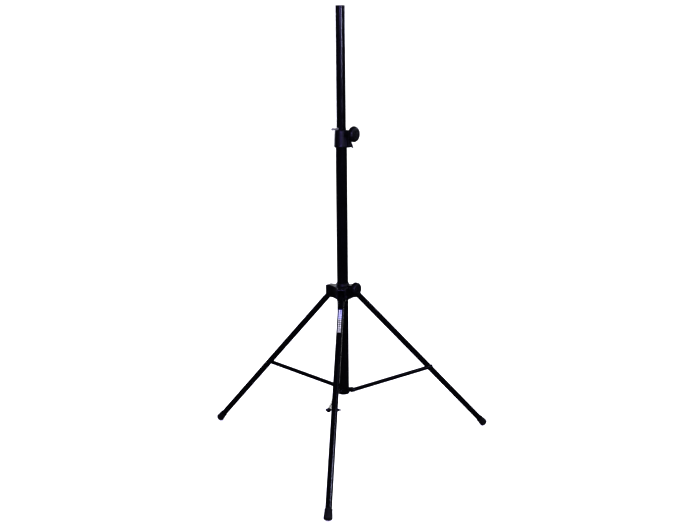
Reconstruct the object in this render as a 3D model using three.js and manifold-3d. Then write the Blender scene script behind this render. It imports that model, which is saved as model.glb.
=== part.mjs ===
// A folding tripod stand for a loudspeaker: a telescoping pole on three braced legs.
// Millimetres, +Z up, floor at z = 0, front leg pointing along -Y.
import * as THREE from "three";
import { mergeVertices } from "three/addons/utils/BufferGeometryUtils.js";
import Module from "manifold-3d";

// ---- Driving dimensions -------------------------------------------------------------------

const GAP = 0.3; // between pieces that touch or turn in each other
const LEG_COUNT = 3;
const FRONT_AZIMUTH = -90; // degrees, front leg
const KNOB_AZIMUTH = -30; // degrees, both knobs, midway between two legs
const PIN_AZIMUTH = -130; // degrees, handle end of the safety pin

// Column
const LOWER_TUBE_R = 21;
const LOWER_TUBE_WALL = 1.8;
const LOWER_TUBE_BOTTOM = 233;
const LOWER_TUBE_TOP = 1190;
const POLE_R = 17.5; // 35 mm loudspeaker pole
const POLE_WALL = 1.5;
const POLE_BOTTOM = 640;
const STAND_TOP = 1670;

// Clamp collar at the top of the lower tube
const COLLAR_BOTTOM = 1166;
const COLLAR_TOP = 1228;
const CLAMP_STUD_Z = 1216;
const PIN_Z = 1234;
const PIN_R = 3.5;
const PIN_HOLE_COUNT = 5;
const PIN_HOLE_PITCH = 100;

// Leg hub, at rest
const HUB_PIVOT_Z = 620;
const HUB_PIVOT_R = 55;
const HUB_ARM_END_R = 67.5;
const HUB_ARM_HALF_WIDTH = 16;
const HUB_STUD_Z = 644;

// Legs and braces
const LEG_R = 11.4;
const LEG_WALL = 1.2;
const LEG_REACH = 575; // horizontal, pivot to the middle of the foot
const LEG_DROP = 606.5; // vertical, pivot to the middle of the foot
const BRACE_R = 8;
const BRACE_WALL = 1.2;
const BRACE_SIDE = 19.9; // brace axis, clockwise of the leg's plane
const BRACE_ON_LEG = 454; // along the leg, from its pivot
const BRACE_PIVOT_R = 30;
const BRACE_PIVOT_Z = 245;

// Fasteners
const STUD_R = 4;
const BOLT_R = 3;
const BOLT_HOLE_R = 3.4;

// ---- Values worked out from them ----------------------------------------------------------

const degrees = THREE.MathUtils.degToRad;
const LEG_ANGLE = Math.atan2(LEG_REACH, LEG_DROP); // from vertical
const JOINT_R = HUB_PIVOT_R + BRACE_ON_LEG * Math.sin(LEG_ANGLE);
const JOINT_Z = HUB_PIVOT_Z - BRACE_ON_LEG * Math.cos(LEG_ANGLE);
const BRACE_RISE = JOINT_Z - BRACE_PIVOT_Z;
const BRACE_RUN = JOINT_R - BRACE_PIVOT_R;
const BRACE_ANGLE = Math.atan2(BRACE_RISE, BRACE_RUN); // above level
const BRACE_LENGTH = Math.hypot(BRACE_RISE, BRACE_RUN);
// The front foot reaches twice as far from the column as the back feet do along Y.
const COLUMN_Y = (HUB_PIVOT_R + LEG_REACH) / 4;

// ---- Materials ----------------------------------------------------------------------------

function finish(color, roughness, metalness) {
  return new THREE.MeshStandardMaterial({ color, roughness, metalness });
}

const PAINT = finish(0x0c0c0f, 0.34, 0.0); // satin black powder coat
const PLASTIC = finish(0x131216, 0.5, 0.0); // moulded nylon
const RUBBER = finish(0x141414, 0.8, 0.0);
const STEEL = finish(0x9a9ca0, 0.32, 1.0);
const BLACK_STEEL = finish(0x1b1b1d, 0.4, 0.8);
const NYLON = finish(0x26262a, 0.55, 0.0);
const LABEL = finish(0x2a6f9e, 0.45, 0.0);

// ---- Solid building -----------------------------------------------------------------------

const wasm = await Module();
wasm.setup();

function solidOf(geometry) {
  const bare = geometry.clone();
  bare.deleteAttribute("normal");
  bare.deleteAttribute("uv");
  const merged = mergeVertices(bare, 1e-3);
  return new wasm.Manifold(
    new wasm.Mesh({
      numProp: 3,
      vertProperties: merged.attributes.position.array,
      triVerts: new Uint32Array(merged.index.array),
    }),
  );
}

function geometryOf(solid) {
  const mesh = solid.getMesh();
  const geometry = new THREE.BufferGeometry();
  const positions = new THREE.BufferAttribute(mesh.vertProperties, 3);
  geometry.setAttribute("position", positions);
  geometry.setIndex(new THREE.BufferAttribute(mesh.triVerts, 1));
  geometry.computeVertexNormals();
  return geometry;
}

function join(...geometries) {
  const solids = geometries.map(solidOf);
  return geometryOf(solids.reduce((whole, piece) => whole.add(piece)));
}

function cut(base, ...tools) {
  const solids = tools.map(solidOf);
  return geometryOf(solids.reduce((whole, tool) => whole.subtract(tool), solidOf(base)));
}

// A profile of [radius, height] points turned about Z. It starts and ends on the axis, or
// closes on itself, and runs anticlockwise: up the outside, down the inside.
function turned(profile, sides) {
  const points = profile.map(([radius, height]) => new THREE.Vector2(radius, height));
  return new THREE.LatheGeometry(points, sides).rotateX(Math.PI / 2);
}

function rod(radius, bottom, top, sides) {
  const profile = [
    [0, bottom],
    [radius, bottom],
    [radius, top],
    [0, top],
  ];
  return turned(profile, sides);
}

function tube(outer, inner, bottom, top, sides) {
  const profile = [
    [inner, bottom],
    [outer, bottom],
    [outer, top],
    [inner, top],
    [inner, bottom],
  ];
  return turned(profile, sides);
}

// Turns a solid built along +Z to point along +X or +Y.
const alongX = (geometry) => geometry.rotateY(Math.PI / 2);
const alongY = (geometry) => geometry.rotateX(-Math.PI / 2);

function block(x0, x1, y0, y1, z0, z1) {
  const geometry = new THREE.BoxGeometry(x1 - x0, y1 - y0, z1 - z0);
  return geometry.translate((x0 + x1) / 2, (y0 + y1) / 2, (z0 + z1) / 2);
}

// An outline in the X-Z plane given thickness in Y, from y0 to y1.
function plate(shape, y0, y1, curveSegments = 6) {
  const options = { depth: y1 - y0, bevelEnabled: false, curveSegments };
  const geometry = new THREE.ExtrudeGeometry(shape, options);
  return geometry.rotateX(Math.PI / 2).translate(0, y1, 0);
}

function part(name, geometry, material, parent) {
  const mesh = new THREE.Mesh(geometry, material);
  mesh.name = name;
  parent.add(mesh);
  return mesh;
}

function groupAt(parent, x, y, z) {
  const group = new THREE.Group();
  group.position.set(x, y, z);
  parent.add(group);
  return group;
}

const stand = new THREE.Group();
const column = groupAt(stand, 0, COLUMN_Y, 0);

// A group whose +X points away from the column at the given azimuth.
function spoke(azimuth, parent = column) {
  const group = groupAt(parent, 0, 0, 0);
  group.rotation.z = degrees(azimuth);
  return group;
}

const legAzimuth = (index) => FRONT_AZIMUTH + (index * 360) / LEG_COUNT;

// ---- Fasteners ----------------------------------------------------------------------------

// A pan-head bolt along +Z: the head's underside is at z = 0, the shank ends at z = length.
function boltGeometry(length, radius = BOLT_R) {
  const headR = radius * 1.9;
  const headHeight = radius * 1.15;
  const profile = [
    [0, -headHeight],
    [headR * 0.62, -headHeight],
    [headR * 0.9, -headHeight * 0.7],
    [headR, -headHeight * 0.25],
    [headR, 0],
    [radius, 0],
    [radius, length - 0.8],
    [radius - 0.8, length],
    [0, length],
  ];
  return turned(profile, 10);
}

function hexNutGeometry(bottom, top, holeR, acrossCorners) {
  return tube(acrossCorners / 2, holeR, bottom, top, 6);
}

// ---- Column -------------------------------------------------------------------------------

const TUBE_SIDES = 28;

function addLowerTube() {
  const inner = LOWER_TUBE_R - LOWER_TUBE_WALL;
  const body = tube(LOWER_TUBE_R, inner, LOWER_TUBE_BOTTOM, LOWER_TUBE_TOP, TUBE_SIDES);
  const rivetHoles = rivetAzimuths.map((azimuth) =>
    alongX(rod(RIVET_HOLE_R, inner - 3, LOWER_TUBE_R + 3, 8))
      .translate(0, 0, RIVET_Z)
      .rotateZ(degrees(azimuth)),
  );
  part("lower_tube", cut(body, ...rivetHoles), PAINT, column);
}

function addEndPlug() {
  const stemR = LOWER_TUBE_R - LOWER_TUBE_WALL - GAP;
  const flangeTop = LOWER_TUBE_BOTTOM - GAP;
  const profile = [
    [0, flangeTop - 3],
    [LOWER_TUBE_R - 1.2, flangeTop - 3],
    [LOWER_TUBE_R, flangeTop - 1.8],
    [LOWER_TUBE_R, flangeTop],
    [stemR, flangeTop],
    [stemR, flangeTop + 16],
    [0, flangeTop + 16],
  ];
  part("tube_end_plug", turned(profile, TUBE_SIDES), PLASTIC, column);
}

// The collar grips the lower tube and closes in above it to guide the pole.
const BOSS_END_R = 46;
const BOSS_R = 14;

function collarBoss() {
  const outline = new THREE.Shape();
  outline.moveTo(20, COLLAR_BOTTOM + 1);
  outline.lineTo(37, COLLAR_BOTTOM + 1);
  outline.quadraticCurveTo(40, COLLAR_BOTTOM + 2, 40, COLLAR_BOTTOM + 6);
  outline.lineTo(40, COLLAR_TOP - 8);
  outline.quadraticCurveTo(39, COLLAR_TOP, 32, COLLAR_TOP);
  outline.lineTo(20, COLLAR_TOP);
  outline.closePath();
  const rib = plate(outline, -10, 10);
  const barrel = alongX(
    turned(
      [
        [0, 20],
        [BOSS_R, 20],
        [BOSS_R, BOSS_END_R - 2],
        [BOSS_R - 2, BOSS_END_R],
        [0, BOSS_END_R],
      ],
      20,
    ),
  ).translate(0, 0, CLAMP_STUD_Z);
  return join(rib, barrel);
}

function addClampCollar() {
  const body = turned(
    [
      [15, COLLAR_BOTTOM],
      [24.2, COLLAR_BOTTOM],
      [27, COLLAR_BOTTOM + 5],
      [26.6, COLLAR_BOTTOM + 14],
      [24.8, COLLAR_TOP - 6],
      [23.4, COLLAR_TOP - 1.5],
      [21.8, COLLAR_TOP],
      [15, COLLAR_TOP],
      [15, COLLAR_BOTTOM],
    ],
    TUBE_SIDES,
  );
  const boss = collarBoss().rotateZ(degrees(KNOB_AZIMUTH));
  const tubeSeat = rod(LOWER_TUBE_R + GAP, 1000, LOWER_TUBE_TOP + 4, TUBE_SIDES);
  const poleBore = rod(POLE_R + 0.4, 1000, 1400, TUBE_SIDES);
  const studBore = alongX(rod(STUD_R + GAP, 10, 60, 16));
  const shoePocket = alongX(rod(SHOE_R + GAP, 10, SHOE_END_R + GAP, 16));
  const bores = [studBore, shoePocket].map((bore) =>
    bore.translate(0, 0, CLAMP_STUD_Z).rotateZ(degrees(KNOB_AZIMUTH)),
  );
  const geometry = cut(join(body, boss), tubeSeat, poleBore, ...bores);
  part("clamp_collar", geometry, PLASTIC, column);
}

function addCollarBush() {
  const sleeveR = LOWER_TUBE_R - LOWER_TUBE_WALL - GAP;
  const flangeBottom = LOWER_TUBE_TOP + GAP;
  const profile = [
    [POLE_R + GAP, LOWER_TUBE_TOP - 60],
    [sleeveR, LOWER_TUBE_TOP - 60],
    [sleeveR, flangeBottom],
    [LOWER_TUBE_R - 0.2, flangeBottom],
    [LOWER_TUBE_R - 0.2, flangeBottom + 3],
    [POLE_R + GAP, flangeBottom + 3],
    [POLE_R + GAP, LOWER_TUBE_TOP - 60],
  ];
  part("collar_bush", turned(profile, TUBE_SIDES), NYLON, column);
}

const SHOE_R = 5;
const SHOE_END_R = 22;

// The pad between a clamp stud and the tube that it presses on.
function shoeGeometry(from, to) {
  return alongX(rod(SHOE_R, from, to, 16));
}

function addClampShoe() {
  const group = spoke(KNOB_AZIMUTH);
  const shoe = shoeGeometry(POLE_R + GAP, SHOE_END_R);
  part("clamp_shoe", shoe, NYLON, group).position.z = CLAMP_STUD_Z;
}

// A short hook beside the boss, where the safety pin is hung when it is out.
const HOOK_BALL_R = 49.5;
const HOOK_BALL_Z = 1169;

function addTailHook() {
  const path = new THREE.CatmullRomCurve3([
    new THREE.Vector3(41.2, 0, 1184),
    new THREE.Vector3(44, 0, 1183.4),
    new THREE.Vector3(47.4, 0, 1177.5),
    new THREE.Vector3(HOOK_BALL_R, 0, HOOK_BALL_Z),
  ]);
  const section = new THREE.Shape().absarc(0, 0, 2.2, 0, Math.PI * 2);
  const options = { steps: 8, extrudePath: path, curveSegments: 4, bevelEnabled: false };
  const stem = new THREE.ExtrudeGeometry(section, options);
  const ball = new THREE.SphereGeometry(3.8, 10, 6).translate(HOOK_BALL_R, 0, HOOK_BALL_Z);
  part("tail_hook", join(stem, ball), PLASTIC, spoke(KNOB_AZIMUTH));
}

// ---- Lower bracket ------------------------------------------------------------------------

const BRACKET_TOP = 254;
const BRACKET_R = 23;
const RIVET_Z = 243.5;
const RIVET_R = 2;
const RIVET_HOLE_R = RIVET_R + GAP;
const LUG_SIDE = BRACE_SIDE - BRACE_R - GAP; // outer face of a lug
const LUG_THICKNESS = 4;
const LUG_R = 9;
const rivetAzimuths = [0, 1, 2].map((index) => legAzimuth(index) + 60);

function lugGeometry() {
  const outline = new THREE.Shape();
  outline.moveTo(18, BRACE_PIVOT_Z - LUG_R);
  outline.lineTo(BRACE_PIVOT_R, BRACE_PIVOT_Z - LUG_R);
  outline.absarc(BRACE_PIVOT_R, BRACE_PIVOT_Z, LUG_R, -Math.PI / 2, Math.PI / 2);
  outline.lineTo(18, BRACE_PIVOT_Z + LUG_R);
  outline.closePath();
  return plate(outline, -LUG_SIDE, LUG_THICKNESS - LUG_SIDE);
}

function addLowerBracket() {
  const ring = tube(BRACKET_R, 15, LOWER_TUBE_BOTTOM, BRACKET_TOP, TUBE_SIDES);
  const lugs = [];
  const holes = [rod(LOWER_TUBE_R + GAP, 100, 400, TUBE_SIDES)];
  for (let index = 0; index < LEG_COUNT; index += 1) {
    const turn = degrees(legAzimuth(index));
    lugs.push(lugGeometry().rotateZ(turn));
    const boltHole = alongY(rod(BOLT_HOLE_R, -20, 0, 8));
    holes.push(boltHole.translate(BRACE_PIVOT_R, 0, BRACE_PIVOT_Z).rotateZ(turn));
    const rivetHole = alongX(rod(RIVET_HOLE_R, 15, 30, 8)).translate(0, 0, RIVET_Z);
    holes.push(rivetHole.rotateZ(degrees(rivetAzimuths[index])));
  }
  part("lower_bracket", cut(join(ring, ...lugs), ...holes), PAINT, column);
}

function addBracketRivet(index) {
  const tailR = LOWER_TUBE_R - LOWER_TUBE_WALL + GAP;
  const headR = BRACKET_R + GAP;
  const profile = [
    [0, tailR],
    [RIVET_R, tailR],
    [RIVET_R, headR],
    [4, headR],
    [3.2, headR + 1.4],
    [0, headR + 1.8],
  ];
  const group = spoke(rivetAzimuths[index]);
  const rivet = part(`bracket_rivet_${index + 1}`, alongX(turned(profile, 8)), BLACK_STEEL, group);
  rivet.position.z = RIVET_Z;
}

// ---- Upper pole ---------------------------------------------------------------------------

function addUpperPole() {
  const inner = POLE_R - POLE_WALL;
  const capThickness = 3;
  const poleTop = STAND_TOP - capThickness - GAP;
  const body = tube(POLE_R, inner, POLE_BOTTOM, poleTop, TUBE_SIDES);
  const holes = [];
  for (let index = 0; index < PIN_HOLE_COUNT; index += 1) {
    const hole = alongX(rod(PIN_R + 0.5, -30, 30, 8)).rotateZ(degrees(PIN_AZIMUTH));
    holes.push(hole.translate(0, 0, PIN_Z - index * PIN_HOLE_PITCH));
  }
  part("upper_pole", cut(body, ...holes), PAINT, column);

  const capProfile = [
    [0, poleTop - 18],
    [inner - GAP, poleTop - 18],
    [inner - GAP, poleTop + GAP],
    [POLE_R, poleTop + GAP],
    [POLE_R, STAND_TOP - 1],
    [POLE_R - 1, STAND_TOP],
    [0, STAND_TOP],
  ];
  part("pole_top_cap", turned(capProfile, TUBE_SIDES), PLASTIC, column);

  const glideR = LOWER_TUBE_R - LOWER_TUBE_WALL - GAP;
  const glideProfile = [
    [inner - 1, POLE_BOTTOM - GAP - 3],
    [glideR, POLE_BOTTOM - GAP - 3],
    [glideR, POLE_BOTTOM + 30],
    [POLE_R + GAP, POLE_BOTTOM + 30],
    [POLE_R + GAP, POLE_BOTTOM - GAP],
    [inner - 1, POLE_BOTTOM - GAP],
    [inner - 1, POLE_BOTTOM - GAP - 3],
  ];
  part("pole_bottom_glide", turned(glideProfile, TUBE_SIDES), NYLON, column);
}

// A straight pin with a shoulder against the pole and a grooved grip at its outer end.
function addSafetyPin() {
  const profile = [
    [0, -25],
    [PIN_R - 1.2, -25],
    [PIN_R, -23.5],
    [PIN_R, POLE_R + 0.7],
    [5.4, POLE_R + 0.7],
    [5.4, POLE_R + 3.2],
    [PIN_R, POLE_R + 3.8],
    [PIN_R, 38.5],
    [4.8, 39.5],
    [4.8, 46],
    [3.6, 47.5],
    [0, 47.5],
  ];
  const pin = part("safety_pin", alongX(turned(profile, 12)), STEEL, spoke(PIN_AZIMUTH));
  pin.position.z = PIN_Z;
}

// ---- Knobs --------------------------------------------------------------------------------

const KNOB_LOBES = 10;

// A rounded, lobed knob along +Z, with a blind bore in its back face for the stud.
function knobGeometry(radius, thickness) {
  const rim = [
    [0, 0],
    [radius * 0.8, 0],
    [radius * 0.93, thickness * 0.07],
    [radius * 0.99, thickness * 0.22],
    [radius, thickness * 0.45],
    [radius * 0.97, thickness * 0.68],
    [radius * 0.86, thickness * 0.87],
    [radius * 0.6, thickness * 0.97],
    [0, thickness],
  ];
  const body = turned(rim, KNOB_LOBES * 3);
  const position = body.attributes.position;
  const lobeDepth = 0.02;
  for (let index = 0; index < position.count; index += 1) {
    const x = position.getX(index);
    const y = position.getY(index);
    const reach = Math.hypot(x, y) / radius;
    const wave = Math.cos(KNOB_LOBES * Math.atan2(y, x));
    const scale = 1 - lobeDepth * reach ** 4 * (1 - wave);
    position.setXY(index, x * scale, y * scale);
  }
  return cut(body, rod(STUD_R + GAP, -5, STUD_IN_KNOB + GAP, 16));
}

const STUD_IN_KNOB = 9;

// backR is the distance of the knob's back face from the column axis.
function addKnob(name, studName, { height, radius, thickness, backR, studStart }) {
  const group = spoke(KNOB_AZIMUTH);
  const knob = part(name, alongX(knobGeometry(radius, thickness)), PLASTIC, group);
  knob.position.set(backR, 0, height);
  const stud = alongX(rod(STUD_R, studStart, backR + STUD_IN_KNOB, 16));
  part(studName, stud, STEEL, group).position.z = height;
}

// ---- Leg hub ------------------------------------------------------------------------------

const HUB_TOP = 659;
const HUB_BOTTOM = 599;
const HUB_BOSS_END_R = 49;
const BUSH_OUTER_R = 22.6;
const WEB_END_R = 46;
const WEB_MIDDLE_R = 34.8;
const WEB_BOTTOM = 606;
const WEB_TOP = 650;
const SLOT_HALF_WIDTH = LEG_R + 0.5;

function hubArm() {
  const outline = new THREE.Shape();
  const top = HUB_PIVOT_Z + 30;
  const bottom = HUB_PIVOT_Z - 16.5;
  outline.moveTo(18, top);
  outline.lineTo(18, HUB_BOTTOM + 1);
  outline.lineTo(26, HUB_BOTTOM + 1);
  outline.lineTo(34, bottom);
  outline.lineTo(58, bottom);
  outline.quadraticCurveTo(HUB_ARM_END_R, bottom + 1, HUB_ARM_END_R, bottom + 10);
  outline.lineTo(HUB_ARM_END_R, top - 4);
  outline.quadraticCurveTo(HUB_ARM_END_R, top, HUB_ARM_END_R - 4, top);
  outline.closePath();
  return plate(outline, -HUB_ARM_HALF_WIDTH, HUB_ARM_HALF_WIDTH);
}

// The web that fills the corners between the arms: its sides are slightly hollow.
function hubWeb() {
  const cheek = new THREE.Vector2(WEB_END_R, HUB_ARM_HALF_WIDTH);
  const origin = new THREE.Vector2();
  const outline = new THREE.Shape();
  for (let index = 0; index < LEG_COUNT; index += 1) {
    const turn = degrees(legAzimuth(index));
    const start = cheek.clone().rotateAround(origin, turn);
    const across = new THREE.Vector2(WEB_END_R, -HUB_ARM_HALF_WIDTH);
    const end = across.rotateAround(origin, turn + degrees(360 / LEG_COUNT));
    const middle = start.clone().add(end).setLength(2 * WEB_MIDDLE_R);
    const control = middle.sub(start.clone().add(end).multiplyScalar(0.5));
    if (index === 0) outline.moveTo(start.x, start.y);
    else outline.lineTo(start.x, start.y);
    outline.quadraticCurveTo(control.x, control.y, end.x, end.y);
  }
  outline.closePath();
  const options = { depth: WEB_TOP - WEB_BOTTOM, bevelEnabled: false, curveSegments: 4 };
  return new THREE.ExtrudeGeometry(outline, options).translate(0, 0, WEB_BOTTOM);
}

function hubSlot() {
  const slotTop = HUB_PIVOT_Z + 24;
  return block(36, 80, -SLOT_HALF_WIDTH, SLOT_HALF_WIDTH, HUB_BOTTOM - 20, slotTop);
}

function addLegHub() {
  const ring = turned(
    [
      [15, HUB_BOTTOM],
      [25, HUB_BOTTOM],
      [28.5, HUB_BOTTOM + 5],
      [28.5, HUB_TOP - 8],
      [25.4, HUB_TOP - 5],
      [25, HUB_TOP],
      [15, HUB_TOP],
      [15, HUB_BOTTOM],
    ],
    TUBE_SIDES,
  );
  const knobTurn = degrees(KNOB_AZIMUTH);
  const boss = alongX(
    turned(
      [
        [0, 16],
        [11.8, 16],
        [11, HUB_BOSS_END_R - 2],
        [9, HUB_BOSS_END_R],
        [0, HUB_BOSS_END_R],
      ],
      24,
    ),
  );
  boss.translate(0, 0, HUB_STUD_Z).rotateZ(knobTurn);
  const solids = [ring, hubWeb(), boss];
  const bushSeat = rod(BUSH_OUTER_R + GAP, 400, 900, TUBE_SIDES);
  const studBore = alongX(rod(STUD_R + GAP, 10, 60, 16));
  const shoePocket = alongX(rod(SHOE_R + GAP, 10, HUB_SHOE_END_R + GAP, 16));
  const tools = [bushSeat];
  for (const bore of [studBore, shoePocket]) {
    tools.push(bore.translate(0, 0, HUB_STUD_Z).rotateZ(knobTurn));
  }
  for (let index = 0; index < LEG_COUNT; index += 1) {
    const turn = degrees(legAzimuth(index));
    solids.push(hubArm().rotateZ(turn));
    tools.push(hubSlot().rotateZ(turn));
    const pivotHole = alongY(rod(BOLT_HOLE_R, -30, 30, 8));
    tools.push(pivotHole.translate(HUB_PIVOT_R, 0, HUB_PIVOT_Z).rotateZ(turn));
  }
  part("leg_hub", cut(join(...solids), ...tools), PLASTIC, column);
}

const HUB_SHOE_END_R = 27;

function addHubBush() {
  const inner = LOWER_TUBE_R + 0.25;
  const body = turned(
    [
      [inner, HUB_BOTTOM],
      [BUSH_OUTER_R, HUB_BOTTOM],
      [BUSH_OUTER_R, HUB_TOP + GAP],
      [24.4, HUB_TOP + GAP],
      [24, HUB_TOP + GAP + 2],
      [inner, HUB_TOP + GAP + 2],
      [inner, HUB_BOTTOM],
    ],
    TUBE_SIDES,
  );
  const window = alongX(rod(SHOE_R + GAP, 10, 40, 16)).translate(0, 0, HUB_STUD_Z);
  part("hub_bush", cut(body, window.rotateZ(degrees(KNOB_AZIMUTH))), NYLON, column);
  const shoe = shoeGeometry(inner, HUB_SHOE_END_R);
  part("hub_shoe", shoe, NYLON, spoke(KNOB_AZIMUTH)).position.z = HUB_STUD_Z;
}

function addLegPivot(index, legSpoke) {
  const outside = HUB_ARM_HALF_WIDTH + GAP;
  const nutHeight = 4;
  const pivot = groupAt(legSpoke, HUB_PIVOT_R, 0, HUB_PIVOT_Z);
  const bolt = alongY(boltGeometry(2 * outside + nutHeight + 1.6));
  part(`leg_pivot_bolt_${index + 1}`, bolt, BLACK_STEEL, pivot).position.y = -outside;
  const nut = alongY(hexNutGeometry(outside, outside + nutHeight, 3.9, 11.5));
  part(`leg_pivot_nut_${index + 1}`, nut, BLACK_STEEL, pivot);
}

// ---- Legs ---------------------------------------------------------------------------------

const LEG_SIDES = 20;
const LEG_ABOVE_PIVOT = 12;
const LEG_TUBE_END = 832; // along the leg, inside the boot
const BOOT_TOP = 808;
const BOOT_EDGE = 838.3; // where the rounded edge is centred
const BOOT_EDGE_R = 6;
const BOOT_R = 15.3;

// Inside a leg group, -Z runs down the leg from its pivot and +X faces up and outwards.
function addLegTube(index, leg) {
  const body = tube(LEG_R, LEG_R - LEG_WALL, -LEG_TUBE_END, LEG_ABOVE_PIVOT, LEG_SIDES);
  const pivotHole = alongY(rod(BOLT_HOLE_R, -20, 20, 8));
  const braceHole = alongY(rod(BOLT_HOLE_R, -20, 20, 8)).translate(0, 0, -BRACE_ON_LEG);
  part(`leg_tube_${index + 1}`, cut(body, pivotHole, braceHole), PAINT, leg);
}

function addBoot(index, leg) {
  const flatR = BOOT_R - BOOT_EDGE_R;
  const boreR = LEG_R + GAP;
  const profile = [
    [0, -BOOT_EDGE - BOOT_EDGE_R - 1],
    [flatR * 0.5, -BOOT_EDGE - BOOT_EDGE_R - 0.6],
  ];
  const edgeSteps = 4;
  for (let step = 0; step <= edgeSteps; step += 1) {
    const angle = -Math.PI / 2 + (step * Math.PI) / 2 / edgeSteps;
    const radius = flatR + BOOT_EDGE_R * Math.cos(angle);
    profile.push([radius, -BOOT_EDGE + BOOT_EDGE_R * Math.sin(angle)]);
  }
  profile.push([13.6, -BOOT_TOP - 10], [13.4, -BOOT_TOP - 1.5], [12.4, -BOOT_TOP]);
  profile.push([boreR, -BOOT_TOP], [boreR, -LEG_TUBE_END - GAP], [0, -LEG_TUBE_END - GAP]);
  // The floor has worn a small flat on the boot.
  const floor = block(-60, 60, -60, 60, -60, 0);
  floor.translate(0, 0, -HUB_PIVOT_Z);
  floor.translate(LEG_REACH, 0, 0).rotateY(LEG_ANGLE);
  part(`foot_${index + 1}`, cut(turned(profile, LEG_SIDES), floor), RUBBER, leg);
}

// The leg's half of the brace joint: it ends level with the leg's clockwise side.
function addBraceNut(index, leg) {
  const flush = LEG_R + 0.1;
  const nutFace = LEG_R + GAP;
  const profile = [
    [0, -flush],
    [BOLT_R, -flush],
    [BOLT_R, nutFace],
    [5.4, nutFace],
    [5.4, nutFace + 3.6],
    [2.6, nutFace + 3.6],
    [2.6, nutFace + 10.4],
    [0, nutFace + 11],
  ];
  const nut = alongY(turned(profile, 8));
  part(`brace_nut_${index + 1}`, nut, BLACK_STEEL, leg).position.z = -BRACE_ON_LEG;
}

// A printed band round the front leg, on its upper side.
function addLegLabel(leg) {
  const innerR = LEG_R + GAP;
  const outerR = innerR + 0.3;
  const halfAngle = degrees(62);
  const labelTop = -58;
  const labelLength = 100;
  const outline = new THREE.Shape();
  outline.absarc(0, 0, outerR, -halfAngle, halfAngle);
  outline.absarc(0, 0, innerR, halfAngle, -halfAngle, true);
  outline.closePath();
  const options = { depth: labelLength, bevelEnabled: false, curveSegments: 10 };
  const band = new THREE.ExtrudeGeometry(outline, options);
  part("leg_label", band.translate(0, 0, labelTop - labelLength), LABEL, leg);
}

// ---- Braces -------------------------------------------------------------------------------

const BRACE_SIDES = 16;
const BRACE_PAST_INNER = 9.5;
const BRACE_PAST_OUTER = 8;

// Inside a brace group, +X runs along the brace from its inner pivot.
function addBrace(index, brace) {
  const inner = BRACE_R - BRACE_WALL;
  const body = tube(
    BRACE_R,
    inner,
    -BRACE_PAST_INNER,
    BRACE_LENGTH + BRACE_PAST_OUTER,
    BRACE_SIDES,
  );
  const holes = [0, BRACE_LENGTH].map((x) =>
    alongY(rod(BOLT_HOLE_R, -20, 20, 8)).translate(x, 0, 0),
  );
  part(`brace_tube_${index + 1}`, cut(alongX(body), ...holes), PAINT, brace);
}

// The brace's half of its joint with the leg: it stops short of the leg's side.
function addBraceBolt(index, brace) {
  const headFace = BRACE_R + GAP;
  const bolt = alongY(boltGeometry(2 * BRACE_R + GAP));
  const mesh = part(`brace_bolt_${index + 1}`, bolt, BLACK_STEEL, brace);
  mesh.position.set(BRACE_LENGTH, -headFace, 0);
}

function addBracePivot(index, legSpoke) {
  const pivot = groupAt(legSpoke, BRACE_PIVOT_R, 0, BRACE_PIVOT_Z);
  const headFace = -BRACE_SIDE - BRACE_R - GAP;
  const nutFace = -LUG_SIDE + LUG_THICKNESS + GAP;
  const nutHeight = 3.5;
  const bolt = alongY(boltGeometry(nutFace - headFace + nutHeight + 1));
  part(`brace_pivot_bolt_${index + 1}`, bolt, BLACK_STEEL, pivot).position.y = headFace;
  const nut = alongY(hexNutGeometry(nutFace, nutFace + nutHeight, 3.9, 10.5));
  part(`brace_pivot_nut_${index + 1}`, nut, BLACK_STEEL, pivot);
}

// ---- Assembly -----------------------------------------------------------------------------

addLowerTube();
addEndPlug();
addClampCollar();
addCollarBush();
addClampShoe();
addTailHook();
addLowerBracket();
addUpperPole();
addSafetyPin();
addKnob("clamp_knob", "clamp_stud", {
  height: CLAMP_STUD_Z,
  radius: 29,
  thickness: 21.5,
  backR: 46.8,
  studStart: SHOE_END_R + GAP,
});
addLegHub();
addHubBush();
addKnob("hub_knob", "hub_stud", {
  height: HUB_STUD_Z,
  radius: 26,
  thickness: 22,
  backR: 50.5,
  studStart: HUB_SHOE_END_R + GAP,
});

for (let index = 0; index < LEG_COUNT; index += 1) {
  const legSpoke = spoke(legAzimuth(index));
  addBracketRivet(index);
  addLegPivot(index, legSpoke);
  addBracePivot(index, legSpoke);

  const leg = groupAt(legSpoke, HUB_PIVOT_R, 0, HUB_PIVOT_Z);
  leg.rotation.y = -LEG_ANGLE;
  addLegTube(index, leg);
  addBoot(index, leg);
  addBraceNut(index, leg);
  if (index === 0) addLegLabel(leg);

  const brace = groupAt(legSpoke, BRACE_PIVOT_R, -BRACE_SIDE, BRACE_PIVOT_Z);
  brace.rotation.y = -BRACE_ANGLE;
  addBrace(index, brace);
  addBraceBolt(index, brace);
}

export default stand;
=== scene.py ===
import math

import bmesh
import bpy
from mathutils import Matrix, Vector


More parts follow.
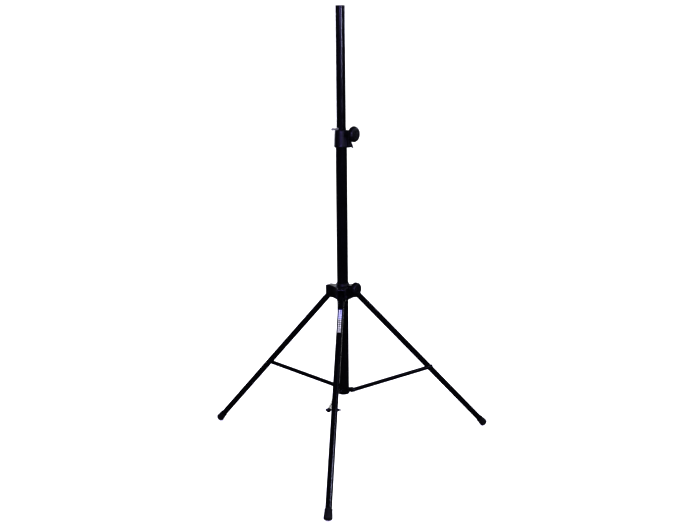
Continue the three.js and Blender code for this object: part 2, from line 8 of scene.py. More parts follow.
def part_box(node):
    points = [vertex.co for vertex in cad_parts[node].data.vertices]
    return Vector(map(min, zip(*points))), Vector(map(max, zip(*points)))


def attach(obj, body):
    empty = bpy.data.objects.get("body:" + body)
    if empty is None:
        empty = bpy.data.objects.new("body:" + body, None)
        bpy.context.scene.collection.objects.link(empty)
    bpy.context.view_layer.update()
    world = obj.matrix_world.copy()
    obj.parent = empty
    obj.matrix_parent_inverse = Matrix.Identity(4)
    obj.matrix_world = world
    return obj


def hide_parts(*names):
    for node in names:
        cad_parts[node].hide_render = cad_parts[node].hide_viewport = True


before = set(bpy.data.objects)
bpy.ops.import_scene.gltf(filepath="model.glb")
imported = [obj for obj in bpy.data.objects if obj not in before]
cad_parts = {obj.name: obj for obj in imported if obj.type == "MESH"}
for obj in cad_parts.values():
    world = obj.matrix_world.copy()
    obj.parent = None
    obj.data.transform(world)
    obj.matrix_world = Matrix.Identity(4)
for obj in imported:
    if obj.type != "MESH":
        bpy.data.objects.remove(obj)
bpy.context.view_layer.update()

# ---- Dimensions, in millimetres and degrees --------------------------------------------

MM = 0.001


def heights(node):
    """The lowest and highest point of a CAD node."""
    low_corner, high_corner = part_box(node)
    return low_corner.z / MM, high_corner.z / MM


# The clearance between pieces that touch.
GAP = 0.3
LEG_AZIMUTHS = (-90, 30, 150)
KNOB_AZIMUTH = -30
PIN_AZIMUTH = -130

# _R is a radius and _Z a height above the floor.
TUBE_R = 21
TUBE_WALL = 1.8
TUBE_BORE = TUBE_R - TUBE_WALL
TUBE_LOW, TUBE_HIGH = heights("lower_tube")
POLE_R = 17.5
POLE_WALL = 1.5
POLE_LOW, POLE_HIGH = heights("upper_pole")
STAND_TOP = heights("pole_top_cap")[1]
COLLAR_LOW, COLLAR_HIGH = heights("clamp_collar")
CLAMP_STUD_Z = 1216
PIN_Z = 1234
PIN_R = 3.5
PIN_HOLE_R = PIN_R + 0.5
PIN_HOLE_COUNT = 5
PIN_HOLE_PITCH = 100

BRACKET_R = 23
BRACKET_HIGH = heights("lower_bracket")[1]
RIVET_Z = 243.5
LUG_R = 9
LUG_THICKNESS = 4

HUB_LOW, HUB_HIGH = heights("leg_hub")
HUB_PIVOT_Z = 620
HUB_PIVOT_R = 55
HUB_ARM_END_R = 67.5
HUB_ARM_HALF_WIDTH = 16
HUB_STUD_Z = 644
WEB_END_R = 46
WEB_MIDDLE_R = 34.8
WEB_LOW = 606
WEB_HIGH = 650

LEG_R = 11.4
LEG_WALL = 1.2
LEG_REACH = 575
LEG_DROP = 606.5
# Distances down the leg from its pivot.
BRACE_ON_LEG = 454
BOOT_HIGH = 808
LEG_TUBE_END = 832
BOOT_EDGE = 838.3
BOOT_EDGE_R = 6
BOOT_R = 15.3
SCUFF_START = 826
SCUFF_FULL = 846
LABEL_TOP = 58
LABEL_LENGTH = 100

BRACE_R = 8
BRACE_WALL = 1.2
# How far a brace stands to the side of its leg.
BRACE_SIDE = 19.9
BRACE_PIVOT_R = 30
BRACE_PIVOT_Z = 245
BRACE_PAST_INNER = 9.5
BRACE_PAST_OUTER = 8
LUG_SIDE = BRACE_SIDE - BRACE_R - GAP

STUD_R = 4
STUD_IN_KNOB = 9
SHOE_R = 5
# How far from the column's axis each clamp shoe ends.
CLAMP_SHOE_END = 22
HUB_SHOE_END = 27
BOLT_R = 3
BOLT_HOLE_R = BOLT_R + 0.4
NUT_HOLE_R = BOLT_R + 0.3
BRACE_NUT_THICK = 3.5
LEG_NUT_THICK = 4
THREAD_PITCH = 1.0
KNOB_LOBES = 10
# Flat sides of the largest round pieces.
FINE = 96

LEG_ANGLE = math.atan2(LEG_REACH, LEG_DROP)
BRACE_RISE = HUB_PIVOT_Z - BRACE_ON_LEG * math.cos(LEG_ANGLE) - BRACE_PIVOT_Z
BRACE_RUN = HUB_PIVOT_R + BRACE_ON_LEG * math.sin(LEG_ANGLE) - BRACE_PIVOT_R
BRACE_ANGLE = math.atan2(BRACE_RISE, BRACE_RUN)
BRACE_LENGTH = math.hypot(BRACE_RISE, BRACE_RUN)

tube_low_corner, tube_high_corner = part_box("lower_tube")
COLUMN = Matrix.Translation(
    (
        (tube_low_corner.x + tube_high_corner.x) / 2,
        (tube_low_corner.y + tube_high_corner.y) / 2,
        0,
    )
)


def turn(axis, angle):
    return Matrix.Rotation(angle, 4, axis)


def shift(x, y, z):
    """A move given in millimetres."""
    return Matrix.Translation((x * MM, y * MM, z * MM))


def about_z(azimuth):
    return turn("Z", math.radians(azimuth))


def spoke(azimuth):
    """The frame whose +X points away from the column at the azimuth."""
    return COLUMN @ about_z(azimuth)


def leg_frame(azimuth):
    """-Z runs down the leg from its pivot."""
    return spoke(azimuth) @ shift(HUB_PIVOT_R, 0, HUB_PIVOT_Z) @ turn("Y", -LEG_ANGLE)


def brace_frame(azimuth):
    """+X runs along the brace from its inner pivot."""
    pivot = shift(BRACE_PIVOT_R, -BRACE_SIDE, BRACE_PIVOT_Z)
    return spoke(azimuth) @ pivot @ turn("Y", -BRACE_ANGLE)


# +Z of a turned piece points along +X or +Y.
ALONG_X = turn("Y", math.pi / 2)
ALONG_Y = turn("X", -math.pi / 2)

# ---- Mesh building, in millimetres -----------------------------------------------------

CORNER_STEPS = 4


def rounded(points, radius, closed=False):
    """The outline with each corner turned into a small arc, and a guard point beside each
    arc, so that smooth shading stays flat on the long runs."""
    made = []
    count = len(points)
    for i, point in enumerate(points):
        if not closed and i in (0, count - 1):
            made.append(tuple(point))
            continue
        here = Vector(point)
        before = Vector(points[i - 1]) - here
        after = Vector(points[(i + 1) % count]) - here
        cosine = before.normalized().dot(after.normalized())
        corner = math.acos(max(-1, min(1, cosine)))
        if corner > math.radians(172) or before.length < 1e-6 or after.length < 1e-6:
            made.append(tuple(point))
            continue
        reach = min(
            radius / math.tan(corner / 2), before.length * 0.42, after.length * 0.42
        )
        start = here + before.normalized() * reach
        end = here + after.normalized() * reach
        if before.length > reach * 3:
            made.append(tuple(start + before.normalized() * reach * 0.5))
        for step in range(CORNER_STEPS + 1):
            t = step / CORNER_STEPS
            bend = start * (1 - t) ** 2 + here * 2 * t * (1 - t) + end * t * t
            made.append(tuple(bend))
        if after.length > reach * 3:
            made.append(tuple(end + after.normalized() * reach * 0.5))
    return made


def skin(rings, closed_along=False):
    """Quads between rings of points, with the first and last ring closed to a fan when
    they hold one point each."""
    mesh = bmesh.new()
    rows = [[mesh.verts.new(p) for p in ring] for ring in rings]
    pairs = list(zip(rows, rows[1:]))
    if closed_along:
        pairs.append((rows[-1], rows[0]))
    for low, high in pairs:
        count = max(len(low), len(high))
        for i in range(count):
            j = (i + 1) % count
            if len(low) == 1:
                corners = (low[0], high[j], high[i])
            elif len(high) == 1:
                corners = (low[i], low[j], high[0])
            else:
                corners = (low[i], low[j], high[j], high[i])
            mesh.faces.new(corners)
    bmesh.ops.recalc_face_normals(mesh, faces=mesh.faces)
    return mesh


def lathe(profile, sides=64, corner=0.5, shape=None):
    """A profile of (radius, height) turned about Z. shape(angle, radius) may change the
    radius. A profile that doesn't touch the axis closes on itself."""
    closed = profile[0][0] > 1e-6
    outline = rounded(profile, corner, closed) if corner else list(profile)
    rings = []
    for radius, height in outline:
        if radius < 1e-6:
            rings.append([(0, 0, height)])
            continue
        ring = []
        for i in range(sides):
            angle = 2 * math.pi * i / sides
            reach = shape(angle, radius) if shape else radius
            ring.append((reach * math.cos(angle), reach * math.sin(angle), height))
        rings.append(ring)
    return skin(rings, closed_along=closed)


def pipe(outer, inner, low, high, sides, cuts_at=()):
    """A tube. cuts_at gives heights that need a ring, beside a hole."""
    wall = [(inner, low), (outer, low)]
    wall += [(outer, z) for z in sorted(cuts_at)]
    wall += [(outer, high), (inner, high)]
    wall += [(inner, z) for z in sorted(cuts_at, reverse=True)]
    return lathe(wall, sides, 0.4)


def bar(radius, low, high, sides, corner=0.0):
    return lathe([(0, low), (radius, low), (radius, high), (0, high)], sides, corner)


def slab(outline, y0, y1, bevel=0.0):
    """An outline of (x, z) given thickness in Y."""
    mesh = bmesh.new()
    face = mesh.faces.new([mesh.verts.new((x, y0, z)) for x, z in outline])
    moved = bmesh.ops.extrude_face_region(mesh, geom=[face])["geom"]
    verts = [item for item in moved if isinstance(item, bmesh.types.BMVert)]
    bmesh.ops.translate(mesh, verts=verts, vec=(0, y1 - y0, 0))
    bmesh.ops.recalc_face_normals(mesh, faces=mesh.faces)
    if bevel:
        rims = [e for e in mesh.edges if e.calc_face_angle(0) > math.radians(50)]
        bmesh.ops.bevel(
            mesh, geom=rims, offset=bevel, segments=3, affect="EDGES", profile=0.5
        )
    return mesh


def arc(cx, cz, radius, start, end, steps):
    """Points on an arc in the X-Z plane, from start to end in degrees."""
    made = []
    for i in range(steps + 1):
        angle = math.radians(start + (end - start) * i / steps)
        made.append((cx + radius * math.cos(angle), cz + radius * math.sin(angle)))
    return made


def moved(mesh, matrix):
    """The mesh turned and moved by a matrix whose shift is in metres."""
    scaled = matrix.copy()
    scaled.translation = matrix.translation / MM
    bmesh.ops.transform(mesh, matrix=scaled, verts=mesh.verts)
    return mesh


def to_object(mesh):
    data = bpy.data.meshes.new("part")
    mesh.to_mesh(data)
    mesh.free()
    made = bpy.data.objects.new("part", data)
    bpy.context.scene.collection.objects.link(made)
    return made


def drop(made):
    data = made.data
    bpy.data.objects.remove(made)
    bpy.data.meshes.remove(data)


def to_shape(made):
    """An object's mesh as a bmesh, with the object gone."""
    mesh = bmesh.new()
    mesh.from_mesh(made.data)
    drop(made)
    return mesh


def settle(made):
    """Applies the object's modifiers."""
    graph = bpy.context.evaluated_depsgraph_get()
    data = bpy.data.meshes.new_from_object(made.evaluated_get(graph))
    old = made.data
    made.modifiers.clear()
    made.data = data
    bpy.data.meshes.remove(old)
    return made


def combine(base, adds=(), cuts=(), within=()):
    """A solid cropped to others, joined with others and cut by others, as one object."""
    whole = to_object(base)
    tools = []
    steps = (("INTERSECT", within), ("UNION", adds), ("DIFFERENCE", cuts))
    for operation, meshes in steps:
        for mesh in meshes:
            tool = to_object(mesh)
            tools.append(tool)
            modifier = whole.modifiers.new("combine", "BOOLEAN")
            modifier.operation = operation
            modifier.object = tool
            modifier.solver = "EXACT"
    settle(whole)
    for tool in tools:
        drop(tool)
    return whole


def moulded(whole, voxel, passes):
    """Softens every edge of a combined solid, as a moulding or casting has them."""
    remesh = whole.modifiers.new("voxels", "REMESH")
    remesh.mode = "VOXEL"
    remesh.voxel_size = voxel
    settle(whole)
    smooth = whole.modifiers.new("smooth", "SMOOTH")
    smooth.factor = 0.5
    smooth.iterations = passes
    return settle(whole)


# The point attribute that holds a piece's own coordinates, which its material reads.
GRAIN = "grain"


def keep_grain(data):
    own = data.attributes.new(GRAIN, "FLOAT_VECTOR", "POINT")
    for vertex, value in zip(data.vertices, own.data):
        value.vector = vertex.co


def piece(name, made, matrix, body, finish, replaced, sharp=38):
    """Names a mesh or object, gives it a finish, puts it in its place, ties it to its
    body and has it replace one CAD node. Edges over the sharp angle stay sharp."""
    if isinstance(made, bmesh.types.BMesh):
        made = to_object(made)
    material, slot = finish
    made.name = name
    made.data.name = name
    data = made.data
    data.transform(Matrix.Scale(MM, 4))
    data.shade_smooth()
    data.set_sharp_from_angle(angle=math.radians(sharp))
    data.materials.clear()
    data.materials.append(material)
    keep_grain(data)
    data.transform(matrix)
    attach(made, body)
    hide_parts(replaced)


# ---- Materials -------------------------------------------------------------------------


class Look:
    """A Principled material and the nodes that feed it. Lengths are in metres."""

    def __init__(self, name, **constants):
        self.material = bpy.data.materials.new(name)
        self.material.use_nodes = True
        self.tree = self.material.node_tree
        self.shader = self.tree.nodes["Principled BSDF"]
        for socket, value in constants.items():
            self.shader.inputs[socket.replace("_", " ")].default_value = value
        own = self.tree.nodes.new("ShaderNodeAttribute")
        own.attribute_name = GRAIN
        self.place = own.outputs["Vector"]

    def link(self, source, target):
        self.tree.links.new(source, target)

    def node(self, kind, inputs=(), **settings):
        made = self.tree.nodes.new(kind)
        for key, value in settings.items():
            setattr(made, key, value)
        for socket, value in dict(inputs).items():
            if isinstance(value, bpy.types.NodeSocket):
                self.link(value, made.inputs[socket])
            else:
                made.inputs[socket].default_value = value
        return made

    def stretched(self, scale):
        mapping = self.node("ShaderNodeMapping", {"Vector": self.place, "Scale": scale})
        return mapping.outputs["Vector"]

    def noise(self, scale, detail=3.0, roughness=0.5, vector=None):
        inputs = {
            "Vector": vector or self.place,
            "Scale": scale,
            "Detail": detail,
            "Roughness": roughness,
        }
        return self.node("ShaderNodeTexNoise", inputs).outputs["Fac"]

    def ramp(self, value, low, high, to_low=0.0, to_high=1.0):
        inputs = {
            "Value": value,
            "From Min": low,
            "From Max": high,
            "To Min": to_low,
            "To Max": to_high,
        }
        made = self.node("ShaderNodeMapRange", inputs, clamp=True)
        return made.outputs["Result"]

    def math(self, operation, a, b):
        made = self.node("ShaderNodeMath", {0: a, 1: b}, operation=operation)
        return made.outputs["Value"]

    def mix(self, factor, a, b):
        made = self.tree.nodes.new("ShaderNodeMix")
        made.data_type = "RGBA"
        sockets = {s.identifier: s for s in made.inputs}
        values = {"Factor_Float": factor, "A_Color": a, "B_Color": b}
        for identifier, value in values.items():
            if isinstance(value, bpy.types.NodeSocket):
                self.link(value, sockets[identifier])
            else:
                sockets[identifier].default_value = value
        return next(s for s in made.outputs if s.identifier == "Result_Color")

    def bump(self, height, strength, distance, under=None):
        inputs = {"Height": height, "Strength": strength, "Distance": distance}
        if under:
            inputs["Normal"] = under
        return self.node("ShaderNodeBump", inputs).outputs["Normal"]

    def edges(self, low, high):
        """1 on sharp outer edges, 0 elsewhere."""
        geometry = self.tree.nodes.new("ShaderNodeNewGeometry")
        return self.ramp(geometry.outputs["Pointiness"], low, high)

    def finish(self, color=None, roughness=None, normal=None):
        for name, value in (
            ("Base Color", color),
            ("Roughness", roughness),
            ("Normal", normal),
        ):
            if value is not None:
                self.link(value, self.shader.inputs[name])
        return self.material


def paint_look(name, streaks=1.0):
    """Satin black powder coat: a faint orange-peel texture, cloudy gloss, rub marks along
    the piece's Z and a little dust."""
    look = Look(
        name, Specular_IOR_Level=0.42, Coat_Weight=0.12, Coat_Roughness=0.12, Coat_IOR=1.5
    )
    look.shader.inputs["Specular Tint"].default_value = (0.86, 0.84, 1.0, 1)
    cloud = look.noise(18, 4)
    peel = look.noise(950, 2)
    speck = look.noise(2600, 1)
    rubbed = look.noise(1, 5, 0.62, look.stretched((900, 900, 7)))
    rub = look.ramp(rubbed, 0.62, 0.76, 0.0, 0.55 * streaks)
    dust = look.ramp(look.noise(70, 6, 0.7), 0.5, 0.85, 0.0, 0.35)
    color = look.mix(cloud, (0.0012, 0.0011, 0.0018, 1), (0.0028, 0.0027, 0.004, 1))
    color = look.mix(rub, color, (0.012, 0.012, 0.015, 1))
    color = look.mix(dust, color, (0.008, 0.0078, 0.0085, 1))
    rough = look.ramp(cloud, 0.3, 0.7, 0.13, 0.21)
    rough = look.math("ADD", rough, look.math("MULTIPLY", rub, 0.25))
    rough = look.math("ADD", rough, look.math("MULTIPLY", dust, 0.3))
    height = look.math("ADD", peel, look.math("MULTIPLY", speck, 0.25))
    normal = look.bump(height, 0.22, 0.0003)
    return look.finish(color, rough, look.bump(rub, 0.15, 0.0002, normal))


def plastic_look():
    """Glass-filled nylon: a spark-eroded grain, paler worn edges and faint flow marks."""
    look = Look("moulded_nylon", Specular_IOR_Level=0.4)
    look.shader.inputs["Specular Tint"].default_value = (0.88, 0.86, 1.0, 1)
    flow = look.noise(40, 4, 0.6)
    grain = look.noise(1500, 3, 0.6)
    pits = look.node(
        "ShaderNodeTexVoronoi", {"Vector": look.place, "Scale": 1100.0}
    ).outputs["Distance"]
    worn = look.math("MULTIPLY", look.edges(0.53, 0.62), look.ramp(flow, 0.35, 0.6))
    color = look.mix(flow, (0.0016, 0.0015, 0.002, 1), (0.0034, 0.0033, 0.0042, 1))
    color = look.mix(worn, color, (0.014, 0.0138, 0.016, 1))
    rough = look.ramp(flow, 0.3, 0.7, 0.36, 0.5)
    rough = look.math("SUBTRACT", rough, look.math("MULTIPLY", worn, 0.12))
    height = look.math("ADD", grain, look.math("MULTIPLY", pits, 0.6))
    return look.finish(color, rough, look.bump(height, 0.3, 0.00025))


def bush_look():
    """Plain machined nylon, with fine turning rings."""
    look = Look("bush_nylon", Specular_IOR_Level=0.45)
    flow = look.noise(60, 3)
    rings = look.noise(1, 3, 0.5, look.stretched((4, 4, 1600)))
    color = look.mix(flow, (0.004, 0.004, 0.0045, 1), (0.009, 0.009, 0.01, 1))
    rough = look.ramp(flow, 0.3, 0.7, 0.42, 0.58)
    return look.finish(color, rough, look.bump(rings, 0.25, 0.0002))


def rubber_look():
    """Matt rubber, scuffed and dusty towards the floor end."""
    look = Look("boot_rubber", Specular_IOR_Level=0.35)
    cloud = look.noise(55, 5, 0.6)
    grain = look.noise(1300, 4, 0.65)
    height = look.node("ShaderNodeSeparateXYZ", {0: look.place}).outputs["Z"]
    low = look.ramp(height, -SCUFF_START * MM, -SCUFF_FULL * MM)
    scuff = look.math("MULTIPLY", low, look.ramp(look.noise(240, 5, 0.7), 0.45, 0.75))
    color = look.mix(cloud, (0.0018, 0.0018, 0.002, 1), (0.004, 0.004, 0.0044, 1))
    color = look.mix(scuff, color, (0.02, 0.0195, 0.019, 1))
    rough = look.ramp(cloud, 0.3, 0.7, 0.62, 0.82)
    return look.finish(color, rough, look.bump(grain, 0.4, 0.0003))


def steel_look(name, dark, light, roughness, metallic=1.0):
    """Plated steel: fine turning marks, cloudy plate and small dull specks."""
    look = Look(name, Metallic=metallic, Specular_IOR_Level=0.5)
    cloud = look.noise(130, 4, 0.6)
    marks = look.noise(1, 3, 0.6, look.stretched((60, 60, 3000)))
    specks = look.ramp(look.noise(900, 4, 0.7), 0.62, 0.72)
    color = look.mix(cloud, dark, light)
    color = look.mix(specks, color, tuple(c * 0.55 for c in dark[:3]) + (1,))
    rough = look.ramp(cloud, 0.3, 0.7, roughness - 0.07, roughness + 0.1)
    rough = look.math("ADD", rough, look.math("MULTIPLY", specks, 0.25))
    return look.finish(color, rough, look.bump(marks, 0.25, 0.00015))


def label_look():
    """A printed film: a narrow strip of plain blocks along the leg's upper side, pale on
    navy above and pale on black below, with black film on both flanks."""
    look = Look(
        "label_film", Specular_IOR_Level=0.42, Coat_Weight=0.12, Coat_Roughness=0.15
    )
    axes = look.node("ShaderNodeSeparateXYZ", {0: look.place})
    label_end = LABEL_TOP + LABEL_LENGTH
    down = look.ramp(axes.outputs["Z"], -LABEL_TOP * MM, -label_end * MM)
    sideways = look.math("ABSOLUTE", axes.outputs["Y"], 0)
    strip = look.ramp(sideways, 7.2 * MM, 6.9 * MM)
    upper = look.ramp(down, 0.42, 0.415)
    print_grain = look.noise(1400, 3, 0.6)
    # Rounded blocks in a brick layout, plain and unlettered, each of its own brightness.
    bricks = look.node(
        "ShaderNodeTexBrick",
        {
            "Vector": look.node(
                "ShaderNodeCombineXYZ", {0: axes.outputs["Z"], 1: axes.outputs["Y"]}
            ).outputs[0],
            "Color1": (0.55, 0.55, 0.55, 1),
            "Color2": (0.95, 0.95, 0.95, 1),
            "Mortar": (0, 0, 0, 1),
            "Scale": 1.0,
            "Mortar Size": 0.0013,
            "Mortar Smooth": 0.3,
            "Bias": 0.0,
            "Brick Width": 0.0088,
            "Row Height": 0.011,
        },
        offset=0.0,
    )
    lit = look.node("ShaderNodeSeparateColor", {0: bricks.outputs["Color"]}).outputs[0]
    centred = look.ramp(sideways, 5.4 * MM, 5.0 * MM)
    past_top = look.ramp(down, 0.03, 0.04)
    ends = look.math("MULTIPLY", past_top, look.ramp(down, 0.975, 0.965))
    lit = look.math("MULTIPLY", look.math("MULTIPLY", lit, centred), ends)
    ground = look.mix(upper, (0.0012, 0.0012, 0.002, 1), (0.0035, 0.0035, 0.05, 1))
    ink = look.mix(upper, (0.5, 0.5, 0.5, 1), (0.55, 0.55, 0.8, 1))
    color = look.mix(lit, ground, ink)
    flank = look.mix(print_grain, (0.0012, 0.0011, 0.0018, 1), (0.003, 0.003, 0.004, 1))
    color = look.mix(strip, flank, color)
    scuff = look.ramp(look.noise(500, 5, 0.7), 0.6, 0.75, 0.0, 0.3)
    color = look.mix(scuff, color, (0.008, 0.008, 0.009, 1))
    rough = look.ramp(print_grain, 0.3, 0.7, 0.28, 0.4)
    return look.finish(color, rough, look.bump(print_grain, 0.08, 0.0001))


# A finish is a material and the name of its slot.
paint = (paint_look("powder_coat_upright"), "black_paint")
paint_worn = (paint_look("powder_coat_sliding_tube", 1.6), "black_paint")
paint_plain = (paint_look("powder_coat_bracket", 0.3), "black_paint")
plastic = (plastic_look(), "black_plastic")
bush = (bush_look(), "nylon")
rubber = (rubber_look(), "rubber")
zinc_plate = steel_look(
    "zinc_plate", (0.24, 0.24, 0.24, 1), (0.38, 0.38, 0.38, 1), 0.3, 0.7
)
zinc = (zinc_plate, "zinc_steel")
black_plate = steel_look(
    "black_plate", (0.025, 0.025, 0.028, 1), (0.06, 0.06, 0.065, 1), 0.34
)
black_zinc = (black_plate, "black_steel")
label = (label_look(), "label_print")

# ---- Fasteners -------------------------------------------------------------------------

THREAD_ROWS_PER_TURN = 8
THREAD_SIDES = 32
# The length over which a thread fades out at the rod's end.
THREAD_FADE = 1.2


def thread(radius, low, high):
    """A rod with a real helical thread from low to high, round at its far end."""
    depth = THREAD_PITCH * 0.42
    rows = max(2, int((high - low) / THREAD_PITCH * THREAD_ROWS_PER_TURN))
    rings = [[(0, 0, low)]]
    for row in range(rows + 1):
        z = low + (high - low) * row / rows
        near_end = min(1.0, max(0.0, (high - z) / THREAD_FADE))
        ring = []
        for i in range(THREAD_SIDES):
            turn_part = i / THREAD_SIDES
            phase = (z / THREAD_PITCH - turn_part) % 1.0
            tooth = abs(phase - 0.5) * 2
            reach = radius - depth * tooth
            reach = min(reach, radius - depth * (1 - near_end) * 1.2)
            angle = 2 * math.pi * turn_part
            ring.append((reach * math.cos(angle), reach * math.sin(angle), z))
        rings.append(ring)
    rings.append([(0, 0, high)])
    return skin(rings)


def socket_bolt(length):
    """A pan-head bolt along +Z with a hex socket. The head's underside is at z = 0."""
    head_r = BOLT_R * 1.9
    head_h = BOLT_R * 1.15
    socket = bar(BOLT_R * 1.35 / 2, -head_h - 1, -head_h * 0.3, 6)
    head = [
        (0, -head_h),
        (head_r * 0.62, -head_h),
        (head_r * 0.9, -head_h * 0.7),
        (head_r, -head_h * 0.25),
        (head_r, 0),
        (BOLT_R, 0),
        (BOLT_R, length * 0.55),
        (0, length * 0.55),
    ]
    tip = thread(BOLT_R, length * 0.5, length)
    return combine(lathe(head, 48, 0.35), [tip], [socket])


def hex_nut(low, high, across_corners, hole_r, collar=0.0):
    """A hex nut with chamfered corners and a bore. A collar is a locking ring on top."""
    height = high - low
    half = across_corners / 2
    cone = lathe(
        [
            (0, low),
            (half * 0.88, low),
            (half * 1.01, low + height * 0.16),
            (half * 1.01, high - height * 0.16),
            (half * 0.88, high),
            (0, high),
        ],
        48,
        0,
    )
    ring = [bar(half * 0.78, high - 0.2, high + collar, 48, 0.4)] if collar else []
    bore = bar(hole_r, low - 2, high + collar + 2, 32)
    whole = combine(bar(half, low - 0.01, high + 0.01, 6), ring, [bore], [cone])
    bevel = whole.modifiers.new("bevel", "BEVEL")
    bevel.width = 0.12
    bevel.segments = 2
    bevel.limit_method = "ANGLE"
    bevel.angle_limit = math.radians(35)
    return settle(whole)


# ---- Column ----------------------------------------------------------------------------


def build_column():
    tube = pipe(TUBE_R, TUBE_BORE, TUBE_LOW, TUBE_HIGH, FINE)
    piece("main_tube", tube, COLUMN, "column", paint_worn, "lower_tube")

    flange_top = TUBE_LOW - GAP
    stem = TUBE_BORE - GAP
    plug = [
        (0, flange_top - 2.2),
        (5, flange_top - 2.2),
        (6, flange_top - 3),
        (TUBE_R - 2, flange_top - 3),
        (TUBE_R, flange_top - 1.6),
        (TUBE_R, flange_top),
        (stem, flange_top),
        (stem, flange_top + 16),
        (0, flange_top + 16),
    ]
    piece("end_plug", lathe(plug, FINE), COLUMN, "column", plastic, "tube_end_plug")
    build_collar()
    build_bracket()


def build_collar():
    low, high = COLLAR_LOW, COLLAR_HIGH
    body = lathe(
        [
            (0, low),
            (24.2, low),
            (27, low + 5),
            (26.6, low + 14),
            (24.8, high - 6),
            (23.4, high - 1.5),
            (21.8, high),
            (0, high),
        ],
        FINE,
        1.2,
    )
    outline = [(15, low + 1), (37, low + 1), (39.4, low + 2.2), (40, low + 6)]
    outline += [(40, high - 8), (39, high - 3), (36.5, high - 0.8)]
    outline += [(32, high), (15, high)]
    # Shallow pockets on both flanks of the rib keep its walls even.
    pocket = [(27.5, low + 7), (36.5, low + 7), (36.5, low + 30), (27.5, low + 30)]
    pockets = [slab(pocket, 8.6, 14), slab(pocket, -14, -8.6)]
    rib = to_shape(combine(slab(outline, -10, 10, 1.2), cuts=pockets))
    stud_axis = shift(0, 0, CLAMP_STUD_Z) @ ALONG_X
    barrel = moved(bar(14, 17, 46, 64, 1.6), stud_axis)
    lip = lathe(
        [(20, low + 3), (27.4, low + 3), (27.4, low + 6.5), (20, low + 6.5)], FINE, 0.8
    )
    step = TUBE_HIGH + 4
    pole_way = POLE_R + 0.4
    bore = [(0, low - 50), (TUBE_R + GAP, low - 50), (TUBE_R + GAP, step)]
    bore += [(pole_way, step), (pole_way, high + 50), (0, high + 50)]
    stud_way = moved(bar(STUD_R + GAP, 10, 70, 32), stud_axis)
    whole = combine(body, [rib, barrel, lip], [lathe(bore, 90, 0), stud_way])
    piece(
        "clamp_collar_body", moulded(whole, 0.75, 3), spoke(KNOB_AZIMUTH), "column",
        plastic, "clamp_collar", 60,
    )

    sleeve = TUBE_BORE - GAP
    sleeve_low = TUBE_HIGH - 60
    flange = TUBE_HIGH + GAP
    flange_r = TUBE_R - 0.2
    bush_profile = [
        (POLE_R + GAP, sleeve_low),
        (sleeve, sleeve_low),
        (sleeve, flange),
        (flange_r, flange),
        (flange_r, flange + 3),
        (POLE_R + GAP, flange + 3),
    ]
    piece(
        "collar_sleeve", lathe(bush_profile, FINE), COLUMN, "column", bush, "collar_bush",
    )
    shoe = bar(SHOE_R, POLE_R + GAP, CLAMP_SHOE_END, 32, 0.5)
    piece(
        "clamp_pad", shoe, spoke(KNOB_AZIMUTH) @ stud_axis, "column", bush, "clamp_shoe",
    )
    build_hook()


HOOK_BALL_R = 3.7
HOOK_STEM_R = 2.2


def curve_point(a, b, c, d, t):
    """A point at t from b to c, on a smooth curve that also follows a and d."""
    square = 2 * a - 5 * b + 4 * c - d
    cube = 3 * b - 3 * c + d - a
    return 0.5 * (2 * b + (c - a) * t + square * t * t + cube * t**3)


def build_hook():
    """A bent stem that swells into a ball, all in one sweep."""
    knots = [(41.2, 1184.0), (44.0, 1183.4), (47.4, 1177.5), (49.5, 1169.0)]
    knots = [Vector(knot) for knot in (knots[0], *knots, knots[-1])]
    line = []
    for near in zip(knots, knots[1:], knots[2:], knots[3:]):
        line += [curve_point(*near, step / 8) for step in range(8)]
    centre = knots[-1]
    line.append(centre)
    way = (line[-1] - line[-3]).normalized()
    line = [p for p in line if (p - centre).length > HOOK_BALL_R * 0.9]
    rings = [[(line[0].x, 0, line[0].y)]]
    for i, point in enumerate(line):
        along = line[min(i + 1, len(line) - 1)] - line[max(i - 1, 0)]
        radius = HOOK_STEM_R if i else HOOK_STEM_R * 0.8
        rings.append(ring_at(point, along.normalized(), radius))
    begin = math.asin(HOOK_STEM_R / HOOK_BALL_R)
    for step in range(12):
        angle = begin + (math.pi - begin) * step / 12
        point = centre - way * HOOK_BALL_R * math.cos(angle)
        rings.append(ring_at(point, way, HOOK_BALL_R * math.sin(angle)))
    end = centre + way * HOOK_BALL_R
    rings.append([(end.x, 0, end.y)])
    piece(
        "pin_hook", skin(rings), spoke(KNOB_AZIMUTH), "column", plastic, "tail_hook", 60,
    )


def ring_at(point, along, radius):
    """A circle round a line in the X-Z plane; point and along are 2-D."""
    across = Vector((-along.y, along.x))
    made = []
    for i in range(24):
        angle = 2 * math.pi * i / 24
        side = across * (radius * math.cos(angle))
        made.append((point.x + side.x, radius * math.sin(angle), point.y + side.y))
    return made


